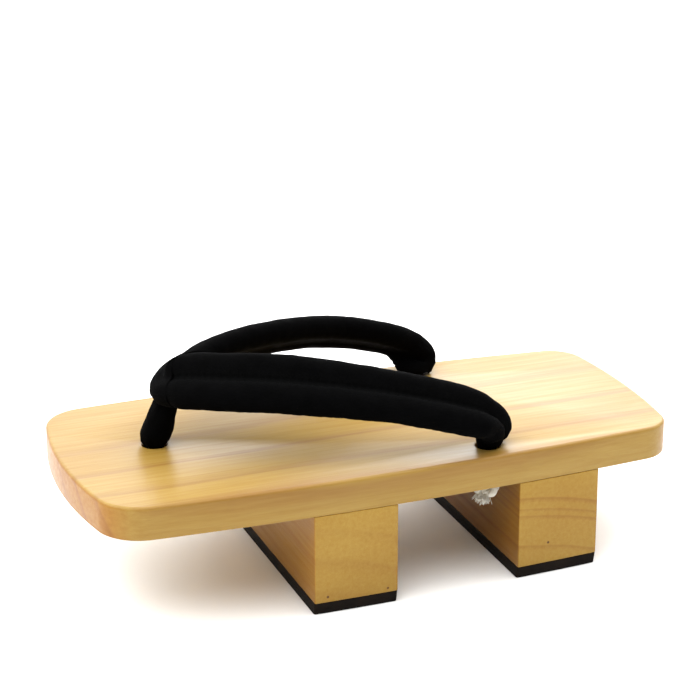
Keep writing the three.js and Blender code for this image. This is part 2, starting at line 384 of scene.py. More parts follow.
def wood(block):
    """Planed softwood for one of the blocks in WOODS."""
    kind = WOODS[block]
    shader = Shader(
        f"{block}_wood",
        Specular_IOR_Level=0.2,
        Coat_Weight=kind["coat"],
        Coat_Roughness=0.27,
        Coat_IOR=1.33,
    )
    x, y, z = shader.axes(shader.millimetres())
    across, length = (x, y) if kind["along"] == "Y" else (y, x)
    fibre = shader.vector(across, shader.times(length, FIBRE_STRETCH), z)
    broad = shader.vector(across, shader.times(length, CLOUD_STRETCH), z)

    # The distance from the pith says where the rings lie.
    pith_across, pith_up = kind["pith"]
    side = shader.subtract(across, pith_across)
    height = shader.add(shader.subtract(z, pith_up), shader.times(length, kind["drop"]))
    squared = shader.add(shader.times(side, side), shader.times(height, height))
    wobble = shader.subtract(shader.noise(broad, scale=0.018), 0.5)
    ragged = shader.subtract(shader.noise(fibre, scale=1.1, detail=3), 0.5)
    radius = shader.add(shader.maths("SQRT", squared), shader.times(wobble, RING_WOBBLE))
    radius = shader.add(radius, shader.times(ragged, RING_RAGGED))
    first = kind["rings"][0][0] - RING_MARGIN
    last = kind["rings"][-1][0] + RING_MARGIN
    stops = ring_stops(kind["rings"], first, last - first)
    late = shader.ramp(shader.map_range(radius, first, last), stops)

    streak = shader.noise(fibre, scale=0.55, detail=4, roughness=0.6)
    fine = shader.noise(fibre, scale=2.6, roughness=0.6)
    cloud = shader.noise(broad, scale=0.03)
    pore = shader.map_range(shader.noise(fibre, scale=4.5, detail=1), 0.66, 0.78)
    shade = shader.add(shader.times(streak, STREAK_SHARE), shader.times(cloud, CLOUD_SHARE))
    colour = shader.mix(shader.map_range(shade, 0.45, 0.95), EARLY_WOOD, DEEP_WOOD)
    colour = shader.mix(late, colour, LATE_WOOD)
    lines = shader.map_range(fine, 0.35, 0.75, 0.0, FINE_STRENGTH)
    colour = shader.mix(lines, colour, LATE_WOOD)

    facing = shader.axes(shader.node("TexCoord", output="Normal"))["XY".index(kind["along"])]
    end_grain = shader.map_range(shader.maths("ABSOLUTE", facing), 0.45, 0.9)
    speckle = shader.map_range(end_grain, 0, 1, SIDE_PORES, END_PORES)
    colour = shader.mix(shader.times(pore, speckle), colour, LATE_WOOD)
    # On the teeth the tint of the other faces also carries painted shade.
    tint = shader.mix(end_grain, kind["side_tint_and_shade"], kind["end_tint"])
    colour = shader.mix(1.0, colour, tint, "MULTIPLY")
    for spot_across, spot_up, spot_radius in kind["spots"]:
        reach = shader.distance(shader.vector(across, 0.0, z), (spot_across, 0.0, spot_up))
        inside = shader.map_range(reach, spot_radius, spot_radius * 0.5)
        colour = shader.mix(shader.times(inside, end_grain), colour, SPOT_SHADE)

    relief = shader.times(shader.subtract(shader.add(fine, streak), pore), 0.5)
    roughness = shader.map_range(streak, 0.3, 0.8, 0.42, 0.55)
    return shader.finish(colour, relief, depth=0.05, roughness=roughness)


RUBBER_BLACK = (0.005, 0.003, 0.002)
RUBBER_BROWN = (0.01, 0.006, 0.004)
RUBBER_DUST = (0.026, 0.018, 0.011)


def rubber():
    shader = Shader("rubber", Specular_IOR_Level=0.06)
    place = shader.millimetres()
    grain = shader.noise(place, scale=2.2, detail=4, roughness=0.65)
    cloud = shader.noise(place, scale=0.08)
    colour = shader.mix(shader.map_range(cloud, 0.35, 0.7), RUBBER_BLACK, RUBBER_BROWN)
    colour = shader.mix(shader.map_range(grain, 0.6, 0.8, 0.0, 0.25), colour, RUBBER_DUST)
    roughness = shader.map_range(grain, 0.3, 0.7, 0.55, 0.75)
    return shader.finish(colour, grain, depth=0.12, roughness=roughness)


# The velvet's shades, from the depth of its pile to a lighter shade that is painted sheen in the
# valley between the rolls, partly crushed pile, and crushed pile along the seams
VELVET_DEEP = (0.0004, 0.0004, 0.00045)
VELVET_NAP = (0.0009, 0.0009, 0.001)
VELVET_TIPS = (0.0018, 0.0018, 0.0019)
VELVET_SHEEN_AND_CRUSHED = (0.0026, 0.0027, 0.0027)


def velvet():
    """Black cotton velvet. The mesh's layer of painted sheen and crushed pile, from 0 to 1, says how
    much lighter the pile is: painted sheen in the valley between the rolls, partly crushed pile,
    and crushed pile along the seams.
    """
    shader = Shader(
        "velvet",
        Specular_IOR_Level=0.02,
        Roughness=0.9,
        Sheen_Weight=0.006,
        Sheen_Roughness=0.35,
        Sheen_Tint=(0.75, 0.8, 0.85, 1),
    )
    place = shader.millimetres()
    pile = shader.noise(place, scale=3.2, detail=3, roughness=0.7)
    nap = shader.noise(place, scale=0.16, detail=3, roughness=0.55)
    sheen_and_crushed = shader.node("Attribute", output="Fac", attribute_name="sheen_and_crushed")
    colour = shader.mix(shader.map_range(nap, 0.3, 0.7), VELVET_DEEP, VELVET_NAP)
    colour = shader.mix(shader.map_range(pile, 0.45, 0.8, 0.0, 0.4), colour, VELVET_TIPS)
    # Lighter pile: painted sheen in the valley, partly crushed pile, and crushed pile along the
    # seams.
    colour = shader.mix(shader.times(sheen_and_crushed, 0.8), colour, VELVET_SHEEN_AND_CRUSHED)
    return shader.finish(colour, pile, depth=0.18)


COTTON_PALE = (0.72, 0.7, 0.63)
COTTON_GREY = (0.56, 0.53, 0.45)
# painted shade of the grooves between the cord's strands
COTTON_GROOVE_SHADE = (0.3, 0.27, 0.2)
COTTON_STRETCH = (3.0, 3.0, 0.5)


def cotton():
    shader = Shader("cotton", Specular_IOR_Level=0.2, Roughness=0.9, Sheen_Weight=0.2)
    place = shader.millimetres()
    strand = shader.noise(shader.stretched(place, COTTON_STRETCH), scale=1.6, detail=3)
    cloud = shader.noise(place, scale=0.3)
    colour = shader.mix(cloud, COTTON_PALE, COTTON_GREY)
    # Darker streaks along the strands: painted shade of the grooves between them.
    colour = shader.mix(shader.map_range(strand, 0.55, 0.75, 0.0, 0.6), colour, COTTON_GROOVE_SHADE)
    return shader.finish(colour, strand, depth=0.15)


# ---------------------------------------------------------------- meshes

SHARP_FROM = 35  # an edge of a hard piece looks sharp from this angle in degrees


def shade_smooth(mesh, sharp_from=None):
    mesh.polygons.foreach_set("use_smooth", [True] * len(mesh.polygons))
    if sharp_from is not None:
        mesh.set_sharp_from_angle(angle=math.radians(sharp_from))


def add_piece(name, points, faces, material, replaces, sharp_from=None):
    """A piece from points in millimetres, which stands for one CAD node."""
    mesh = bpy.data.meshes.new(name)
    mesh.from_pydata([tuple(point * MM) for point in np.asarray(points, float)], [], faces)
    mesh.validate()
    shade_smooth(mesh, sharp_from)
    mesh.materials.append(material)
    piece = bpy.data.objects.new(name, mesh)
    bpy.context.collection.objects.link(piece)
    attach(piece, ROOT)
    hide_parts(replaces)
    return piece


def loft_faces(rings, sides, start=0, closed=False):
    """Faces between rings of points, which turn right-handed round the way they go."""
    faces = []
    for row in range(rings if closed else rings - 1):
        this = start + row * sides
        after = start + ((row + 1) % rings) * sides
        for side in range(sides):
            turn = (side + 1) % sides
            faces.append((this + side, this + turn, after + turn, after + side))
    if not closed:
        faces.append(tuple(start + side for side in reversed(range(sides))))
        faces.append(tuple(start + (rings - 1) * sides + side for side in range(sides)))
    return faces


def apply_modifiers(piece):
    """Turns the piece into what its modifiers make of it."""
    graph = bpy.context.evaluated_depsgraph_get()
    made = bpy.data.meshes.new_from_object(piece.evaluated_get(graph))
    old = piece.data
    piece.modifiers.clear()
    piece.data = made
    bpy.data.meshes.remove(old)


def full_turn(steps):
    """Angles in equal steps once round, without the last, which is the first again."""
    return np.linspace(0, 2 * math.pi, steps, endpoint=False)


def unit(vectors):
    return vectors / np.linalg.norm(vectors, axis=-1, keepdims=True)


def hump(value, middle, width):
    """1 where the value is at the middle, falling smoothly to nothing a few widths away."""
    return np.exp(-(((value - middle) / width) ** 2))


SEED_SHIFT = (17.3, 5.1, 9.7)  # how far a seed moves the noise


def field(points, strength, width, seed):
    """Smooth noise at each point, up to this strong both ways, with features about this wide."""
    shift = Vector([seed * step for step in SEED_SHIFT])
    flat = points.reshape(-1, 3) / width
    values = [noise.noise(Vector(point) + shift) for point in flat]
    return strength * np.array(values).reshape(points.shape[:-1])


def lumps(points, layers):
    """How far stuffing swells and sinks: layers of noise, each (strength, width, seed)."""
    return sum(field(points, *layer) for layer in layers)


# ---------------------------------------------------------------- board, teeth and pads

CORNER_FIT_PASSES = 8  # passes that settle a corner's arc between the end and the side
CAP_STEPS = 10
CORNER_STEPS = 20
SIDE_STEPS = 50


def half_width(y):
    share = y / HALF_LENGTH
    return HALF_WIDTH - HEEL_TAPER * share - END_TAPER * share * share


def half_width_slope(y):
    return -(HEEL_TAPER + 2 * END_TAPER * y / HALF_LENGTH) / HALF_LENGTH


def end_points(end, bow, radius):
    """Half of one end, from the middle to where the side starts. Its corner is an arc that touches
    both the bowed end and the side. "end" is -1 at the toe and +1 at the heel."""

    def reach(x):
        return HALF_LENGTH - bow * (x / HALF_WIDTH) ** 2

    def reach_slope(x):
        return -2 * bow * x / HALF_WIDTH**2

    centre_x = HALF_WIDTH - radius
    centre_y = HALF_LENGTH - radius
    for _ in range(CORNER_FIT_PASSES):
        side = math.hypot(1, half_width_slope(end * centre_y))
        cap = math.hypot(1, reach_slope(centre_x))
        centre_x, centre_y = (
            half_width(end * centre_y) - radius * side,
            reach(centre_x) - radius * cap,
        )
    first = math.pi / 2 - math.atan(-reach_slope(centre_x))
    last = math.atan(-end * half_width_slope(end * centre_y))
    start_x = centre_x + radius * math.cos(first)
    points = [(x, end * reach(x)) for x in np.linspace(0, start_x, CAP_STEPS, endpoint=False)]
    for angle in np.linspace(first, last, CORNER_STEPS + 1):
        y = centre_y + radius * math.sin(angle)
        points.append((centre_x + radius * math.cos(angle), end * y))
    return points


def board_outline():
    toe = end_points(-1, TOE_BOW, TOE_CORNER)
    heel = end_points(1, HEEL_BOW, HEEL_CORNER)[::-1]
    side = [(half_width(y), y) for y in np.linspace(toe[-1][1], heel[0][1], SIDE_STEPS)[1:-1]]
    half = toe + side + heel
    return np.array(half + [(-x, y) for x, y in reversed(half[1:-1])])


def inward(outline):
    """Unit vectors into the outline, one a point. The outline runs anticlockwise."""
    along = unit(np.roll(outline, -1, axis=0) - np.roll(outline, 1, axis=0))
    return np.stack([-along[:, 1], along[:, 0]], axis=1)


def slab(outline, levels):
    """Rings of the outline at each level's (inset, z), as points for loft_faces."""
    into = inward(outline)
    rings = []
    for inset, z in levels:
        flat = outline + into * inset
        rings.append(np.column_stack([flat, np.full(len(flat), z)]))
    return np.concatenate(rings)


def rounded_levels(bottom, top, low_round, high_round, steps, support):
    """Levels round both edges, with a support ring this far into the bottom and the top face."""
    angles = [math.pi / 2 * step / steps for step in range(steps + 1)]
    levels = [(low_round + support, bottom)]
    for angle in angles:
        inset = low_round * (1 - math.sin(angle))
        levels.append((inset, bottom + low_round * (1 - math.cos(angle))))
    for angle in angles:
        inset = high_round * (1 - math.cos(angle))
        levels.append((inset, top - high_round * (1 - math.sin(angle))))
    levels.append((high_round + support, top))
    return levels


BOARD_LOW_ROUND = 0.5
BOARD_HIGH_ROUND = 1.3
HOLE_FLARE = 0.9  # radius of each hole's rounded rim
HOLE_FLARE_STEPS = 3
HOLE_SIDES = 48
CUTTER_OVERRUN = 1.0  # how far the holes' cutter stands out of the board


def hole_cutter():
    """One mesh that cuts all three holes, each flared at both faces."""
    profile = [(HOLE_RADIUS + HOLE_FLARE + CUTTER_OVERRUN, UNDERSIDE - CUTTER_OVERRUN)]
    for step in range(HOLE_FLARE_STEPS + 1):
        angle = math.pi / 2 * step / HOLE_FLARE_STEPS
        rim = HOLE_FLARE * (1 - math.sin(angle))
        profile.append((HOLE_RADIUS + rim, UNDERSIDE + HOLE_FLARE * (1 - math.cos(angle))))
    profile += [(radius, STAND + UNDERSIDE - z) for radius, z in reversed(profile)]
    points = []
    faces = []
    for x, y in HOLES.values():
        faces += loft_faces(len(profile), HOLE_SIDES, start=len(points))
        for radius, z in profile:
            for turn in full_turn(HOLE_SIDES):
                points.append((x + radius * math.cos(turn), y + radius * math.sin(turn), z))
    mesh = bpy.data.meshes.new("holes")
    mesh.from_pydata([tuple(point * MM) for point in np.array(points)], [], faces)
    return bpy.data.objects.new("holes", mesh)


def make_board(material):
    outline = board_outline()
    levels = rounded_levels(
        UNDERSIDE, STAND, BOARD_LOW_ROUND, BOARD_HIGH_ROUND, steps=5, support=0.6
    )
    faces = loft_faces(len(levels), len(outline))
    board = add_piece("wooden_board", slab(outline, levels), faces, material, "board")
    cutter = hole_cutter()
    bpy.context.collection.objects.link(cutter)
    cut = board.modifiers.new("holes", "BOOLEAN")
    cut.operation = "DIFFERENCE"
    cut.solver = "EXACT"
    cut.object = cutter
    apply_modifiers(board)
    bpy.data.objects.remove(cutter)
    shade_smooth(board.data, SHARP_FROM)


TOOTH_CORNER = 0.7
TOOTH_ROUND = 0.3
PAD_CORNER = 1.0
PAD_LOW_ROUND = 0.25
PAD_HIGH_ROUND = 0.2
PAD_UNDERCUT = 1.2  # how far the rubber's two ends slope in, from top to ground
BLOCK_CORNER_STEPS = 4
BLOCK_SIDE_STEPS = 8


def cross_outline(first, last, corner):
    """The plan of a block from one y to the other, whose ends follow the board's sides."""
    quarter = [math.pi / 2 * step / BLOCK_CORNER_STEPS for step in range(BLOCK_CORNER_STEPS + 1)]
    half = []
    for angle in quarter:
        y = first + corner - corner * math.cos(angle)
        half.append((half_width(y) - corner + corner * math.sin(angle), y))
    for y in np.linspace(first + corner, last - corner, BLOCK_SIDE_STEPS)[1:-1]:
        half.append((half_width(y), y))
    for angle in quarter:
        y = last - corner + corner * math.sin(angle)
        half.append((half_width(y) - corner + corner * math.cos(angle), y))
    return np.array(half + [(-x, y) for x, y in reversed(half)])


def block_mesh(node, corner, bottom, top, low_round, high_round):
    """Points and faces of a block as long, front to back, as this CAD node."""
    low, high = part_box(node)
    outline = cross_outline(low.y / MM, high.y / MM, corner)
    levels = rounded_levels(bottom, top, low_round, high_round, steps=3, support=0.5)
    return slab(outline, levels), loft_faces(len(levels), len(outline))


def make_tooth(name, material):
    node = f"{name}_tooth"
    points, faces = block_mesh(node, TOOTH_CORNER, PAD_THICK, UNDERSIDE, TOOTH_ROUND, TOOTH_ROUND)
    add_piece(f"{name}_wooden_tooth", points, faces, material, node, SHARP_FROM)


def make_pad(name, material):
    node = f"{name}_pad"
    points, faces = block_mesh(node, PAD_CORNER, 0, PAD_THICK, PAD_LOW_ROUND, PAD_HIGH_ROUND)
    slope = PAD_UNDERCUT * (1 - points[:, 2] / PAD_THICK)
    points[:, 0] -= np.sign(points[:, 0]) * slope
    add_piece(f"{name}_rubber_pad", points, faces, material, node, SHARP_FROM)


# ---------------------------------------------------------------- thong

RING_SPACING = 0.8
BAND_SAMPLES = 6000  # places along the band's curve where its length is measured
ALONG_STEP = 0.004  # a small step along the curve, in stations


def thong_stations():
    """Both arms' stations as rows of numbers, from the right hole round the hairpin to the left."""

    def station(row, side, shift, back):
        named = dict(zip(THONG_COLUMNS, row))
        named["inner_x"] = side * named["inner_x"] + shift
        named["outer_x"] = side * named["outer_x"] + shift
        named["inner_y"] += back
        named["outer_y"] += back
        return [named[column] for column in THONG_COLUMNS]

    def arm(side, reach, end_rows):
        rows = []
        for place, row in enumerate(THONG_ROWS):
            share = place / len(THONG_ROWS)
            shift = HAIRPIN_SHIFT * (1 - share) ** 1.5
            rows.append(station(row, side, shift, reach * share**2))
        return rows + [station(row, side, 0, 0) for row in end_rows]

    right_arm = arm(-1, RIGHT_ARM_REACH, RIGHT_END_ROWS)
    left_arm = arm(1, 0, LEFT_END_ROWS)
    return np.array(right_arm[:0:-1] + left_arm)


def curve_through(points, places):
    """A uniform Catmull-Rom curve at places from 0 to one less than the number of points."""
    padded = np.vstack([2 * points[0] - points[1], points, 2 * points[-1] - points[-2]])
    first = np.minimum(np.floor(places).astype(int), len(points) - 2)
    share = (places - first)[:, None]
    p0, p1, p2, p3 = (padded[first + step] for step in range(4))
    return 0.5 * (
        2 * p1
        + (p2 - p0) * share
        + (2 * p0 - 5 * p1 + 4 * p2 - p3) * share**2
        + (3 * p1 - p0 - 3 * p2 + p3) * share**3
    )


def halfway(values):
    """The middle between both rolls at each station."""
    return (values[:, 0:3] + values[:, 3:6]) / 2


class Band:
    """Sections across the thong at these distances ("run") from the hairpin, or all along it: for
    each its middle, the way along, the way to the inner roll ("wide"), the way out from the foot."""

    def __init__(self, run=None):
        stations = thong_stations()
        last = len(stations) - 1
        dense = np.linspace(0, last, BAND_SAMPLES)
        steps = np.diff(halfway(curve_through(stations, dense)), axis=0)
        lengths = np.concatenate([[0], np.cumsum(np.linalg.norm(steps, axis=1))])
        lengths -= np.interp(last / 2, dense, lengths)
        if run is None:
            rings = round((lengths[-1] - lengths[0]) / RING_SPACING) + 1
            run = np.linspace(lengths[0], lengths[-1], rings)
        self.run = run
        self.end = np.minimum(run - lengths[0], lengths[-1] - run)  # distance from the nearer end
        places = np.interp(run, lengths, dense)
        values = curve_through(stations, places)
        self.middle = halfway(values)
        ahead = curve_through(stations, np.minimum(places + ALONG_STEP, last))
        behind = curve_through(stations, np.maximum(places - ALONG_STEP, 0))
        self.along = unit(halfway(ahead) - halfway(behind))
        wide = values[:, 0:3] - values[:, 3:6]
        self.offset = np.linalg.norm(wide, axis=1) / 2
        wide -= self.along * np.sum(wide * self.along, axis=1, keepdims=True)
        self.wide = unit(wide)
        self.out = np.cross(self.along, self.wide)
        self.half_thick = values[:, 6]
        self.half_lobe = np.maximum(self.offset, self.half_thick)

    def place(self, across, height):
        """Points at these distances across the band and out from the foot, one row a ring."""
        points = (
            self.middle[:, None, :]
            + across[..., None] * self.wide[:, None, :]
            + height[..., None] * self.out[:, None, :]
        )
        points[..., 2] += STAND
        return points


# An angle in a roll's section is in radians, from the band's plane towards its outer face.
OUTER_GROOVE = 0.89  # how far each roll's arc reaches into the groove on the outer face
INNER_GROOVE = 0.55  # and on the flatter face against the foot
GROOVE_LIMIT = 0.97  # keeps the arcs of both rolls off the band's middle
LOBE_SIDES = 36

# Lumps and drifts are noise, each as (strength, width, seed).
ROLL_LUMPS = ((0.21, 11, 1), (0.15, 5.5, 2), (0.075, 2.6, 3))

PUCKER_DEPTH = 0.2  # gathers along the seams
PUCKER_PITCH = 5.3
PUCKER_ANGLE = -0.55  # where they are deepest, and how far they spread
PUCKER_SPREAD = 0.55
PUCKER_SHARPNESS = 5  # a high power makes narrow notches
PUCKER_STAGGER = 0.4  # how far the two seams' gathers are out of step, in pitches each way
PUCKER_DRIFT = (1.5, 13, 4)
PUCKER_STRETCH = (1, 1, 0.2)  # their drift changes slowly with height
PUCKER_MEAN = 0.6  # share of their depth that is the same all along, and what varies
PUCKER_UNEVEN = (0.6, 16, 8)
SEAM_DEPTH = 0.2
SEAM_ANGLE = -0.62
SEAM_WIDTH = 0.07
STITCH_DEPTH = 0.32  # how far the stitches pull the valley between the rolls in
STITCH_PITCH = 3.1
STITCH_DRIFT = (2.2, 9, 5)
VALLEY_SPREAD = 0.5
SHEEN_AND_CRUSHED_VALLEY = 0.75  # painted sheen, partly crushed pile, in the valley between the rolls, and crushed pile along the seams
CRUSHED_SEAM = 0.15

BEND_END = 24.0  # where the band turns down to its hole, as a distance from its end
BEND_SPREAD = 9.0
FOLD_DEPTH = 0.35  # folds on the face that the bend presses together
FOLD_PITCH = 5.2
FOLD_LEAN = 0.35  # how far that face is turned round each roll
FOLD_DRIFT = (1.8, 10, 6)
WAVE_HEIGHT = 0.22  # long soft waves over the same stretch
WAVE_PITCH = 7.5
WAVE_DRIFT = (2.5, 8, 7)
PLAIN_END = 13.0  # the stretch inside the hole stays round, and its cloth grows rough above it
PLAIN_FADE = 4.0

NECK = {"left": 1.1, "right": 3.0}  # how far the stuffing bulges just above each hole
NECK_UP = 2.4  # height of that bulge above the board, and its spread
NECK_SPREAD = 1.5
NECK_END = 30.0  # only this close to the band's end


def phase(run, pitch):
    return 2 * math.pi * run / pitch


def ripple(angle):
    """A wave from 0 to 1."""
    return 0.5 + 0.5 * np.cos(angle)


def roll_cloth(place, run, end, angle, valley_angle, sign):
    """How far one roll's cloth stands out at each point, and from 0 to 1 how much lighter its pile
    is: painted sheen in the valley, partly crushed pile, and crushed pile along the seams.
    "sign" is 1 on the inner roll and -1 on the outer one."""
    push = lumps(place, ROLL_LUMPS)

    # Gathers notch the seam, which lies where the roll meets the foot's side.
    drift = field(place * PUCKER_STRETCH, *PUCKER_DRIFT) + PUCKER_STAGGER * sign
    notch = ripple(phase(run, PUCKER_PITCH) + 2 * math.pi * drift) ** PUCKER_SHARPNESS
    notch = notch * hump(angle, PUCKER_ANGLE, PUCKER_SPREAD)
    uneven = PUCKER_MEAN + field(place, *PUCKER_UNEVEN)
    seam = hump(angle, SEAM_ANGLE, SEAM_WIDTH)
    push -= PUCKER_DEPTH * uneven * notch + SEAM_DEPTH * seam

    # Stitches pull the valley between the rolls in.
    valley = hump(angle, valley_angle, VALLEY_SPREAD)
    stitch = ripple(phase(run, STITCH_PITCH) + field(place, *STITCH_DRIFT))
    push -= STITCH_DEPTH * valley * stitch**2

    # Folds run across the band where it turns down to a hole.
    bend = hump(end, BEND_END, BEND_SPREAD)
    pressed = np.clip(-np.sin(angle + FOLD_LEAN * sign), 0, 1)
    fold = np.sin(phase(run, FOLD_PITCH) + field(place, *FOLD_DRIFT))
    wave = np.sin(phase(run, WAVE_PITCH) + field(place, *WAVE_DRIFT))
    push -= FOLD_DEPTH * bend * pressed * np.clip(fold, 0, 1)
    push += WAVE_HEIGHT * bend * wave * np.cos(angle)

    push *= np.clip((end - PLAIN_END) / PLAIN_FADE, 0, 1)
    # Painted sheen in the valley between the rolls, partly crushed pile, and crushed pile along the
    # seams and gathers.
    sheen_and_crushed = np.clip(SHEEN_AND_CRUSHED_VALLEY * valley + CRUSHED_SEAM * (seam + notch), 0, 1)
    return push, sheen_and_crushed


ARMS_APART = 0.01  # between the two arms' cloth and the plane where they meet


def keep_apart(points, run):
    """Presses the cloth of the two arms flat where they meet in the crotch of the hairpin."""
    side = np.sign(run)[:, None]
    beyond = side * (points[..., 0] - HAIRPIN_SHIFT)
    points[..., 0] = HAIRPIN_SHIFT + side * np.maximum(beyond, ARMS_APART)
    return points


RIM_START = 0.2  # the cloth starts to rise onto the board this far inside a hole's edge


def rest_on_board(points):
    """Lays the cloth on the board round its holes, where it would sink in."""
    from_middle = [np.hypot(points[..., 0] - x, points[..., 1] - y) for x, y in HOLES.values()]
    past_rim = np.min(from_middle, axis=0) - (HOLE_RADIUS - RIM_START)
    lowest = STAND + GAP * np.minimum(1, past_rim)
    points[..., 2] = np.where(past_rim > 0, np.maximum(points[..., 2], lowest), points[..., 2])
    return points


def make_thong(material):
    band = Band()
    run = band.run[:, None]
    end = band.end[:, None]
    offset = band.offset[:, None]
    half_thick = band.half_thick[:, None]
    half_lobe = band.half_lobe[:, None]
    limit = GROOVE_LIMIT * offset / half_lobe
    inner_reach = math.pi / 2 + np.arcsin(np.minimum(limit, INNER_GROOVE))
    outer_reach = math.pi / 2 + np.arcsin(np.minimum(limit, OUTER_GROOVE))
    share = np.linspace(0, 1, LOBE_SIDES + 1)[None, :]
    angle = -inner_reach + (outer_reach + inner_reach) * share

    # Where the inner roll's points lie, and the way outwards in its section
    across = offset + half_lobe * np.cos(angle)
    height = half_thick * np.sin(angle)
    slope = unit(np.stack([np.cos(angle) / half_lobe, np.sin(angle) / half_thick], axis=-1))
    neck = np.where(run > 0, NECK["left"], NECK["right"]) * (end < NECK_END)
    neck = neck * hump(band.middle[:, 2:3], NECK_UP, NECK_SPREAD)
    rolls = []
    marks = []
    for sign in (1, -1):
        place = band.place(sign * across, height)
        push, sheen_and_crushed = roll_cloth(place, run, end, angle, outer_reach, sign)
        push += neck
        pushed_across = sign * (across + push * slope[..., 0])
        points = band.place(pushed_across, height + push * slope[..., 1])
        points = rest_on_board(keep_apart(points, band.run))
        rolls.append(points[:, ::sign])
        marks.append(sheen_and_crushed[:, ::sign])
    points = np.concatenate(rolls, axis=1)
    sheen_and_crushed = np.concatenate(marks, axis=1)
    faces = loft_faces(*sheen_and_crushed.shape)
    thong = add_piece("padded_thong", points.reshape(-1, 3), faces, material, "thong")
    # The layer of painted sheen and crushed pile, for the velvet's colour.
    layer = thong.data.attributes.new("sheen_and_crushed", "FLOAT", "POINT")
    layer.data.foreach_set("value", sheen_and_crushed.reshape(-1).astype(np.float32))


# ---------------------------------------------------------------- toe post

LOOP_HALF = 4.0  # the post's loop reaches this far along the thong on both sides of the hairpin
LOOP_LIFT = 0.35  # height of the loop's cloth above the rolls
LOOP_CLEAR = 0.15  # height of the cloth's underside
LOOP_SAG = 2.6  # scale of the cloth's sag between the rolls; it sinks about 0.7 of this
LOOP_SAG_INNER = 0.7  # and on the flatter face against the foot
LOOP_SAG_BLUNT = 0.15  # how blunt the sag's lowest point is, as a share of the way to a roll
LOOP_STEPS = 26
LOOP_ROLL_STEPS = 25
LOOP_FLAT_STEPS = 12
LOOP_CROWDING = 0.7  # powers that draw the sections towards the loop's edges, and round these
LOOP_EDGE_ROUNDING = 0.45
LOOP_LUMPS = ((0.25, 5, 11), (0.12, 2.2, 12))  # (strength, width, seed)
LOOP_REACH = 6.0  # a section's size, which turns a lump's height into a scale

POST_TOP_UP = 19.0  # the post's tube ends in the loop, this high above the board
POST_SIDES = 56
POST_SPACING = 0.5
POST_SMOOTH_PASSES = 6
POST_FULLER = 0.5  # how far the stuffing swells the post beyond its CAD radius, low down
POST_FULLER_UP = 4.5
POST_FULLER_SPREAD = 4.0
POST_LUMPS = ((0.32, 6, 21), (0.15, 2.8, 22))  # (strength, width, seed)
POST_LUMPS_UP = 3.0  # the lumps are at their full height from here up
POST_TOP_PLEATS = {"count": 7, "depth": 0.2, "start": 0.6}  # under the loop
POST_TOP_PLEATS_UP = 9.0  # they start here and are full at twice this height
POST_LOW_PLEATS = {"count": 9, "depth": 0.22, "start": 1.1}  # just above the board
POST_LOW_PLEATS_UP = 1.5
POST_LOW_PLEATS_SPREAD = 2.2
POST_SEAM_DEPTH = 0.3
POST_SEAM_TURN = 2.4  # radians round from +X
POST_SEAM_WIDTH = 0.09


def hull_section(band, lift):
    """Cloth stretched round both rolls, as distances across and out for each section."""
    round_half = np.linspace(-math.pi / 2, math.pi / 2, LOOP_ROLL_STEPS)
    straight = np.linspace(1, -1, LOOP_FLAT_STEPS)[1:-1]
    reach = (band.half_lobe + lift)[:, None]
    thick = (band.half_thick + lift)[:, None]
    offset = band.offset[:, None]
    dip = (1 - np.minimum(np.hypot(straight, LOOP_SAG_BLUNT), 1)) ** 2
    across = [
        offset + reach * np.cos(round_half),
        offset * straight,
        -offset - reach * np.cos(round_half),
        -offset * straight,
    ]
    height = [
        thick * np.sin(round_half),
        thick - LOOP_SAG * dip,
        -thick * np.sin(round_half),
        LOOP_SAG_INNER * dip - thick,
    ]
    return np.concatenate(across, axis=1), np.concatenate(height, axis=1)


def loop_points():
    """The loop's cloth as sections from one edge to the other over the rolls, and back beneath."""
    turn = np.linspace(math.pi, 0, LOOP_STEPS)
    over = np.sign(np.cos(turn)) * np.abs(np.cos(turn)) ** LOOP_CROWDING * LOOP_HALF
    lift = LOOP_CLEAR + (LOOP_LIFT - LOOP_CLEAR) * np.sin(turn) ** LOOP_EDGE_ROUNDING
    back = over[-2:0:-1]
    run = np.concatenate([over, back])
    band = Band(run)
    across, height = hull_section(band, np.concatenate([lift, np.full(len(back), LOOP_CLEAR)]))
    swell = lumps(band.place(across, height), LOOP_LUMPS) / LOOP_REACH
    shown = np.sin(np.linspace(0, math.pi, len(run))) * (np.arange(len(run)) < len(over))
    scale = 1 + shown[:, None] * swell
    return keep_apart(band.place(across * scale, height * scale), run)


def pleats(turn, count, depth, start):
    return depth * np.cos(count * turn + start)


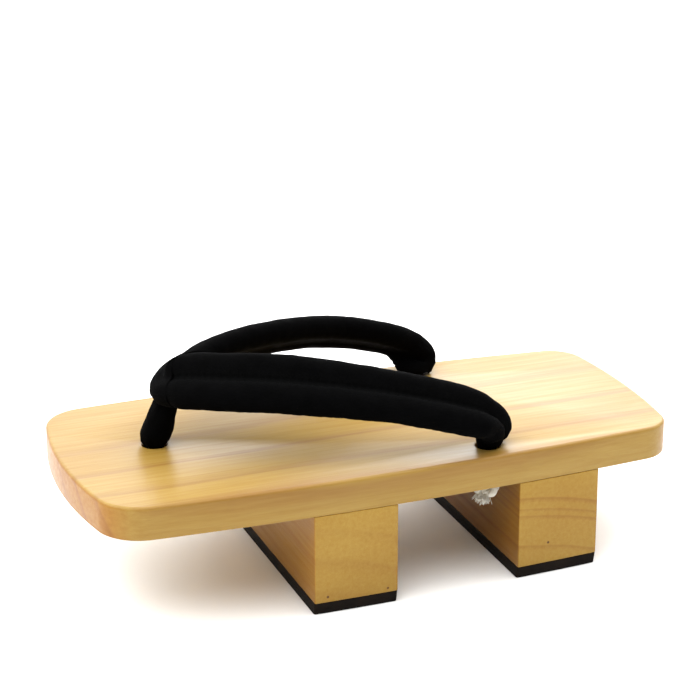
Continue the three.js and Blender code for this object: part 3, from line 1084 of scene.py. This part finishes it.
def post_points():
    """The post's tube as rings, from inside its hole up into the loop."""
    rows = np.array(POST_ROWS, float)
    up = np.arange(rows[0][2], POST_TOP_UP, POST_SPACING)
    columns = [np.interp(up, rows[:, 2], rows[:, column]) for column in range(4)]
    values = np.column_stack(columns)
    for _ in range(POST_SMOOTH_PASSES):
        values[1:-1] = (values[:-2] + 2 * values[1:-1] + values[2:]) / 4
    x, y, up, radius = (values[:, column : column + 1] for column in range(4))
    turn = full_turn(POST_SIDES)[None, :]

    def around(radius):
        level = STAND + up * np.ones_like(turn)
        return np.stack([x + radius * np.cos(turn), y + radius * np.sin(turn), level], axis=-1)

    radius = radius + POST_FULLER * hump(up, POST_FULLER_UP, POST_FULLER_SPREAD)
    under_loop = np.clip(up / POST_TOP_PLEATS_UP - 1, 0, 1)
    above_board = hump(up, POST_LOW_PLEATS_UP, POST_LOW_PLEATS_SPREAD)
    gathers = under_loop * pleats(turn, **POST_TOP_PLEATS)
    gathers = gathers + above_board * pleats(turn, **POST_LOW_PLEATS)
    from_seam = np.angle(np.exp(1j * (turn - POST_SEAM_TURN)))  # from -pi to pi
    seam = POST_SEAM_DEPTH * hump(from_seam, 0, POST_SEAM_WIDTH)
    swell = lumps(around(radius), POST_LUMPS) - seam
    rough = np.clip(up / POST_LUMPS_UP, 0, 1)
    return around(radius + gathers + rough * swell)


def make_toe_post(material):
    post = post_points()
    loop = loop_points()
    post_rings, post_sides = post.shape[:2]
    loop_rings, loop_sides = loop.shape[:2]
    faces = loft_faces(post_rings, post_sides)
    faces += loft_faces(loop_rings, loop_sides, start=post_rings * post_sides, closed=True)
    points = np.concatenate([post.reshape(-1, 3), loop.reshape(-1, 3)])
    piece = add_piece("toe_post_and_loop", points, faces, material, "toe_post")


# ---------------------------------------------------------------- knots

KNOT_DROP = 4.6  # middle of a knot below the board
KNOT_SCALE = (1.25, 1.25, 1.9)  # millimetres for each unit of the trefoil below
CORD_RADIUS = 1.75
CORD_STEPS = 150
CORD_SIDES = 14
CORD_PLIES = 3
PLY_DEPTH = 0.09  # how far the plies stand out, as a share of the radius
PLY_TURNS = 22
STRAND_RADIUS = 0.17
STRAND_TAPER = 0.7  # a thread's radius at its tip, as a share of that at its root
STRAND_SIDES = 5
STRAND_STEPS = 6
SIDEWAYS = (0.31, 0.17, 0.94)  # a direction that no path runs along, which sets where rings start

# Frayed ends of a knot's cord: turn and lean in degrees, length and spread of the threads in mm.
KNOT_ENDS = (
    {"turn": -40, "lean": 42, "length": 6.8, "spread": 2.6, "threads": 60},
    {"turn": -90, "lean": 34, "length": 7.4, "spread": 2.6, "threads": 60},
    {"turn": 150, "lean": 36, "length": 6.0, "spread": 1.7, "threads": 28},
)
FRAY_START = 2.2  # threads leave the knot this far from its middle
FRAY_ROOT = 0.8  # and within this share of the cord's radius
LENGTH_RANGE = (0.82, 1.08)  # a thread's length and spread, as shares of its end's
SPREAD_RANGE = (0.9, 1.5)
CURL_RANGE = (0.1, 0.5)


def tube_points(path, radii, sides, closed=False, ply_depth=0.0):
    """Rings round a path. With a ply depth, the section is that of twisted plies."""
    if closed:
        ahead = np.roll(path, -1, axis=0) - np.roll(path, 1, axis=0)
    else:
        ahead = np.gradient(path, axis=0)
    along = unit(ahead)
    side = unit(np.cross(along, SIDEWAYS))
    other = np.cross(along, side)
    turn = full_turn(sides)[None, :]
    twist = PLY_TURNS * full_turn(len(path))[:, None]
    radius = radii[:, None] * (1 + ply_depth * np.cos(CORD_PLIES * turn + twist))
    return (
        path[:, None, :]
        + (radius * np.cos(turn))[..., None] * side[:, None, :]
        + (radius * np.sin(turn))[..., None] * other[:, None, :]
    )


def knot_path():
    """A pulled-tight trefoil, which is an overhand knot whose two ends have met."""
    t = full_turn(CORD_STEPS)
    x = np.sin(t) + 2 * np.sin(2 * t)
    y = np.cos(t) - 2 * np.cos(2 * t)
    z = -np.sin(3 * t)
    return np.stack([x, y, z], axis=1) * KNOT_SCALE


def frayed_end(rng, turn, lean, length, spread, threads):
    """Threads that fan out from one cut end of the cord, as a list of paths."""
    turn, lean = math.radians(turn), math.radians(lean)
    level = math.sin(lean)
    way = np.array([math.cos(turn) * level, math.sin(turn) * level, -math.cos(lean)])
    side = unit(np.cross(way, (0, 0, 1)))
    other = np.cross(way, side)
    share = np.linspace(0, 1, STRAND_STEPS)[:, None]
    paths = []
    for _ in range(threads):
        angle = rng.uniform(0, 2 * math.pi)
        out = math.sqrt(rng.uniform(0, 1))
        aside = out * (math.cos(angle) * side + math.sin(angle) * other)
        start = way * FRAY_START + aside * CORD_RADIUS * FRAY_ROOT
        tip = way * length * rng.uniform(*LENGTH_RANGE)
        tip = tip + aside * spread * rng.uniform(*SPREAD_RANGE)
        curl = unit(rng.normal(size=3)) * rng.uniform(*CURL_RANGE)
        paths.append(start + (tip - start) * share + curl * np.sin(math.pi * share))
    return paths


def make_knot(name, seed, material):
    rng = np.random.default_rng(seed)
    x, y = HOLES[name]
    radii = np.full(CORD_STEPS, CORD_RADIUS)
    cord = tube_points(knot_path(), radii, CORD_SIDES, closed=True, ply_depth=PLY_DEPTH)
    faces = loft_faces(CORD_STEPS, CORD_SIDES, closed=True)
    points = [cord.reshape(-1, 3)]
    count = CORD_STEPS * CORD_SIDES
    taper = STRAND_RADIUS * np.linspace(1, STRAND_TAPER, STRAND_STEPS)
    for end in KNOT_ENDS:
        for path in frayed_end(rng, **end):
            strand = tube_points(path, taper, STRAND_SIDES)
            faces += loft_faces(STRAND_STEPS, STRAND_SIDES, start=count)
            points.append(strand.reshape(-1, 3))
            count += STRAND_STEPS * STRAND_SIDES
    points = np.concatenate(points) + (x, y, UNDERSIDE - KNOT_DROP)
    add_piece(f"{name}_cord_knot", points, faces, material, f"{name}_knot")


# ---------------------------------------------------------------- the sandal

make_camera()
make_studio()

make_board(wood("board"))
PAD_RUBBER = rubber()
for place in ("front", "rear"):
    make_tooth(place, wood(f"{place}_tooth"))
    make_pad(place, PAD_RUBBER)
BLACK_VELVET = velvet()
make_thong(BLACK_VELVET)
make_toe_post(BLACK_VELVET)
KNOT_COTTON = cotton()
for number, hole in enumerate(HOLES):
    make_knot(hole, number + 1, KNOT_COTTON)
